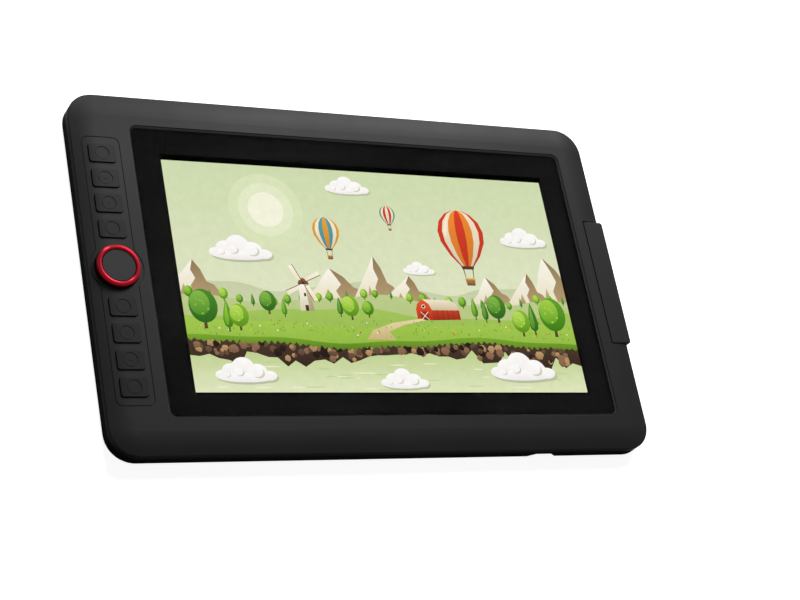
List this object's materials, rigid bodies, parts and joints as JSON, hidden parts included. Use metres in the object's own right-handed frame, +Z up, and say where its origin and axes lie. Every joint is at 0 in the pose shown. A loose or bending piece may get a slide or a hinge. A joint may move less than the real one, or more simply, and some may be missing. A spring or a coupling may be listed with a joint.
{
  "type": "graphics tablet with screen",
  "caption": "Flat drawing tablet with a built-in screen in a crowned black frame, a strip of round-dimpled keys and a red ring dial on the left, and a cable plug housing docked in the right edge.",
  "frame": {"origin": "bottom centre of the box around the whole tablet, on the surface that its rubber feet stand on", "axes": "+X to the right along the long side, +Y towards the top of the picture, +Z up out of the screen"},
  "size_m": [0.4, 0.2534, 0.0194],
  "materials": {
    "frame_plastic": "fine matte moulded black plastic",
    "cover_plastic": "matte moulded black plastic",
    "key_plastic": "fine matte black plastic",
    "plug_plastic": "fine matte black plastic",
    "button_plastic": "smooth matte dark grey plastic",
    "dial_plastic": "black plastic",
    "screen_glass": "clear cover glass with a low-glare finish",
    "mask_ink": "black printed border",
    "display_cell": "display cell, dark when off",
    "light_guide": "white light guide in a frame",
    "sensor_laminate": "dark laminate",
    "chassis_metal": "pressed sheet metal",
    "circuit_board": "green lacquered board",
    "shield_metal": "tinned sheet steel",
    "chip_plastic": "black moulded packages",
    "connector_metal": "drawn and plated steel",
    "dial_metal": "anodised crimson, polished",
    "foot_rubber": "dark rubber",
    "screw_steel": "blackened steel",
    "flex_film": "amber flexible film"
  },
  "bodies": {
    "tablet": {"front_frame": "frame_plastic", "back_cover": "cover_plastic", "screen_glass": "screen_glass", "screen_mask": "mask_ink", "lcd_panel": "display_cell", "backlight_unit": "light_guide", "digitizer_board": "sensor_laminate", "chassis_plate": "chassis_metal", "panel_flex": "flex_film", "key_flex": "flex_film", "main_board": "circuit_board", "board_shield": "shield_metal", "board_chips": "chip_plastic", "usb_socket": "connector_metal", "key_board": "circuit_board", "encoder_sensor": "chip_plastic", "dial_hub": "dial_plastic", "dial_switch": "chip_plastic", "power_switch": "chip_plastic", "key_switches": "chip_plastic", "chassis_screws": "screw_steel", "board_screws": "screw_steel", "key_board_screws": "screw_steel", "foot_1": "foot_rubber", "foot_2": "foot_rubber", "foot_3": "foot_rubber", "foot_4": "foot_rubber", "cover_screws": "screw_steel"},
    "key_1": {"key_1": "key_plastic"},
    "key_2": {"key_2": "key_plastic"},
    "key_3": {"key_3": "key_plastic"},
    "key_4": {"key_4": "key_plastic"},
    "key_5": {"key_5": "key_plastic"},
    "key_6": {"key_6": "key_plastic"},
    "key_7": {"key_7": "key_plastic"},
    "key_8": {"key_8": "key_plastic"},
    "dial": {"dial_ring": "dial_metal", "dial_carrier": "dial_plastic", "encoder_disc": "shield_metal"},
    "dial_press": {"dial_button": "button_plastic", "button_clip": "screw_steel"},
    "power": {"power_button": "button_plastic"},
    "plug": {"plug_cover": "plug_plastic", "plug_base": "plug_plastic", "plug_connector": "connector_metal"}
  },
  "joints": [
    {"name": "key_1_press", "type": "slide", "parent": "tablet", "child": "key_1", "axis": [0, 0, -1], "range_m": [0, 0.0006], "stiffness_N_per_m": 1200, "springref_m": -0.0003},
    {"name": "key_2_press", "type": "slide", "parent": "tablet", "child": "key_2", "axis": [0, 0, -1], "range_m": [0, 0.0006], "stiffness_N_per_m": 1200, "springref_m": -0.0003},
    {"name": "key_3_press", "type": "slide", "parent": "tablet", "child": "key_3", "axis": [0, 0, -1], "range_m": [0, 0.0006], "stiffness_N_per_m": 1200, "springref_m": -0.0003},
    {"name": "key_4_press", "type": "slide", "parent": "tablet", "child": "key_4", "axis": [0, 0, -1], "range_m": [0, 0.0006], "stiffness_N_per_m": 1200, "springref_m": -0.0003},
    {"name": "key_5_press", "type": "slide", "parent": "tablet", "child": "key_5", "axis": [0, 0, -1], "range_m": [0, 0.0006], "stiffness_N_per_m": 1200, "springref_m": -0.0003},
    {"name": "key_6_press", "type": "slide", "parent": "tablet", "child": "key_6", "axis": [0, 0, -1], "range_m": [0, 0.0006], "stiffness_N_per_m": 1200, "springref_m": -0.0003},
    {"name": "key_7_press", "type": "slide", "parent": "tablet", "child": "key_7", "axis": [0, 0, -1], "range_m": [0, 0.0006], "stiffness_N_per_m": 1200, "springref_m": -0.0003},
    {"name": "key_8_press", "type": "slide", "parent": "tablet", "child": "key_8", "axis": [0, 0, -1], "range_m": [0, 0.0006], "stiffness_N_per_m": 1200, "springref_m": -0.0003},
    {"name": "dial_turn", "type": "hinge", "parent": "tablet", "child": "dial", "pos_m": [-0.1807, -0.0002, 0.0135], "axis": [0, 0, 1], "continuous": true},
    {"name": "dial_button_press", "type": "slide", "parent": "tablet", "child": "dial_press", "axis": [0, 0, -1], "range_m": [0, 0.0005], "stiffness_N_per_m": 1500, "springref_m": -0.0003},
    {"name": "power_press", "type": "slide", "parent": "tablet", "child": "power", "axis": [-1, 0, 0], "range_m": [0, 0.0005], "stiffness_N_per_m": 1500, "springref_m": -0.0003},
    {"name": "plug_pull", "type": "slide", "parent": "tablet", "child": "plug", "axis": [1, 0, 0], "range_m": [0, 0.02]}
  ]
}
